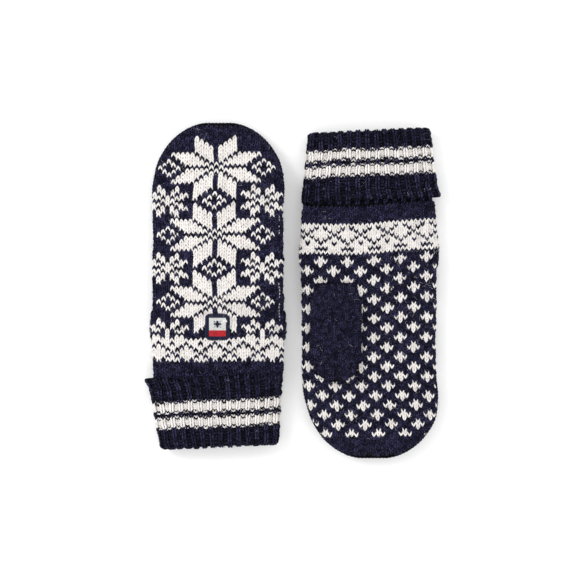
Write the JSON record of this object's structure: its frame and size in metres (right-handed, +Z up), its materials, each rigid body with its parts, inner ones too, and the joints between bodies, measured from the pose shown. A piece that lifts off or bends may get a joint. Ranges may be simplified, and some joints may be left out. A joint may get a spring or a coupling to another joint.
{
  "type": "knitted mittens",
  "caption": "Pair of lined knitted mittens with a two-colour star and lattice pattern, striped turned-up rib cuffs and plain thumbs, laid flat.",
  "frame": {"origin": "on the table, in the middle of the pair's box", "axes": "+X across the pair, from the left-hand to the right-hand mitten; +Y towards the left-hand fingertips; +Z up from the table"},
  "size_m": [0.226, 0.26, 0.0297],
  "materials": {
    "navy_wool": "brushed heather wool knit",
    "cream_wool": "brushed wool knit",
    "fleece_lining": "short pile fleece",
    "label_cloth": "woven damask label",
    "sewing_thread": "twisted polyester thread"
  },
  "bodies": {
    "left_hand": {"left_hand_shell": "navy_wool", "left_wrist_rib": "navy_wool", "left_hand_lining": "fleece_lining", "left_lining_seam": "sewing_thread", "left_lining_side_seam": "sewing_thread", "left_tip_yarn": "navy_wool", "left_label": "label_cloth", "left_label_stitching": "sewing_thread"},
    "left_cuff": {"left_turned_cuff": "navy_wool"},
    "left_thumb_root": {"left_thumb_collar": "navy_wool"},
    "left_thumb": {"left_thumb_shell": "navy_wool", "left_thumb_lining": "fleece_lining"},
    "right_hand": {"right_hand_shell": "navy_wool", "right_wrist_rib": "navy_wool", "right_hand_lining": "fleece_lining", "right_lining_seam": "sewing_thread", "right_lining_side_seam": "sewing_thread", "right_tip_yarn": "navy_wool", "right_label": "label_cloth", "right_label_stitching": "sewing_thread"},
    "right_cuff": {"right_turned_cuff": "navy_wool"},
    "right_thumb_root": {"right_thumb_collar": "navy_wool"},
    "right_thumb": {"right_thumb_shell": "navy_wool", "right_thumb_lining": "fleece_lining"}
  },
  "joints": [
    {"name": "right_mitten_move", "type": "slide", "parent": "left_hand", "child": "right_hand", "axis": [1, 0, 0], "range_m": [0, 0.08]},
    {"name": "left_cuff_turn_down", "type": "slide", "parent": "left_hand", "child": "left_cuff", "axis": [0, -1, 0], "range_m": [0, 0.05]},
    {"name": "right_cuff_turn_down", "type": "slide", "parent": "right_hand", "child": "right_cuff", "axis": [0, 1, 0], "range_m": [0, 0.05]},
    {"name": "left_thumb_swing", "type": "hinge", "parent": "left_hand", "child": "left_thumb_root", "pos_m": [-0.0329, 0.017, 0.0083], "axis": [0, 0, -1], "range_deg": [-15, 30]},
    {"name": "left_thumb_lift", "type": "hinge", "parent": "left_thumb_root", "child": "left_thumb", "pos_m": [-0.0329, -0.003, 0.0081], "axis": [-1, 0, 0], "range_deg": [0, 60]},
    {"name": "right_thumb_swing", "type": "hinge", "parent": "right_hand", "child": "right_thumb_root", "pos_m": [0.0329, -0.017, 0.0203], "axis": [0, 0, -1], "range_deg": [-15, 30]},
    {"name": "right_thumb_lift", "type": "hinge", "parent": "right_thumb_root", "child": "right_thumb", "pos_m": [0.0329, 0.003, 0.0202], "axis": [-1, 0, 0], "range_deg": [0, 60]}
  ]
}
